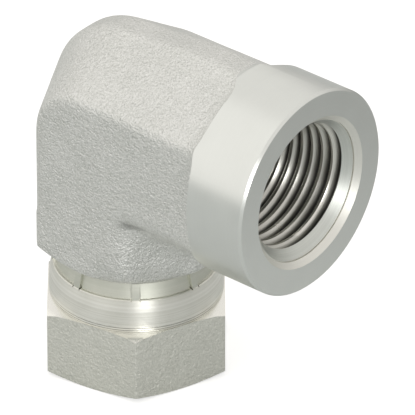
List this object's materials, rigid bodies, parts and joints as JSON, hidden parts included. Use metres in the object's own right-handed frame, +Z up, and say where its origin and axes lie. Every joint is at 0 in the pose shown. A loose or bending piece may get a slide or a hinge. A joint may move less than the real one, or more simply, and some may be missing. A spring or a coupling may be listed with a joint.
{
  "type": "pipe fitting",
  "caption": "Forged steel right-angle elbow with a female pipe-thread port on its arm and a captive hexagonal swivel nut on its foot.",
  "frame": {"origin": "centre of the swivel nut's bottom face, on the nut's axis", "axes": "+Z up along the swivel nut's axis, from the nut's mouth into the elbow; +X along the port's axis, out of its mouth; Y across the forging's two flat sides"},
  "size_m": [0.0464, 0.0308, 0.055],
  "materials": {
    "plated_forging": "bright zinc plate over a fine blasted grain, turned smooth round the port",
    "plated_nut": "bright zinc plate, fine-grained on the hexagon and turned on the collar"
  },
  "bodies": {
    "elbow": {"elbow_body": "plated_forging"},
    "nut": {"swivel_nut": "plated_nut"}
  },
  "joints": [
    {"name": "nut_swivel", "type": "hinge", "parent": "elbow", "child": "nut", "pos_m": [0, 0, 0.009], "axis": [0, 0, 1], "continuous": true}
  ]
}
